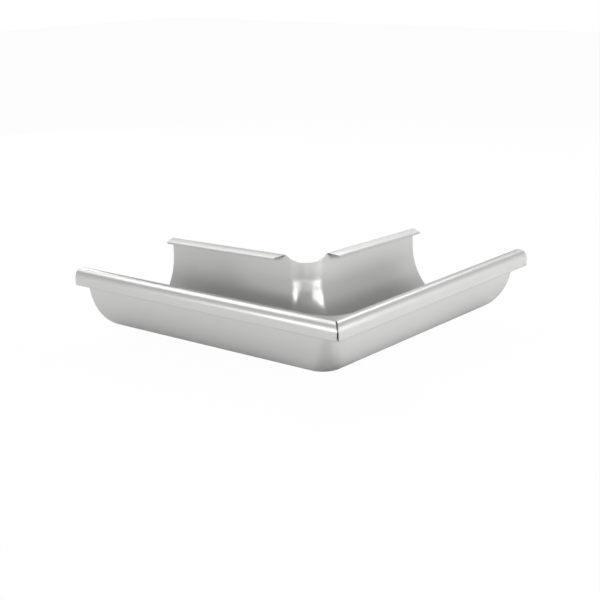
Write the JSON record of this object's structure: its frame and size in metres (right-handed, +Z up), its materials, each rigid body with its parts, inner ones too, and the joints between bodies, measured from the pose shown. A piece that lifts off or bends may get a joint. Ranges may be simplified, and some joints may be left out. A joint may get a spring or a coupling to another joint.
{
  "type": "half-round gutter external angle",
  "caption": "Pressed steel corner for a half-round eaves gutter, turning the run 90 degrees round an outside building corner, with a rolled, mitred front bead and a hemmed back flange.",
  "frame": {"origin": "under the middle of the part's box, at the height of the lowest line of the half-round trough", "axes": "+X along the right leg towards its open end, +Y along the left leg towards its open end, +Z up; the outside corner of the bead points to -X -Y and the building corner lies to +X +Y"},
  "size_m": [0.331, 0.331, 0.0852],
  "materials": {
    "coated_steel": "glossy silver-grey coating"
  },
  "bodies": {
    "root": {"gutter_angle": "coated_steel"}
  },
  "joints": []
}
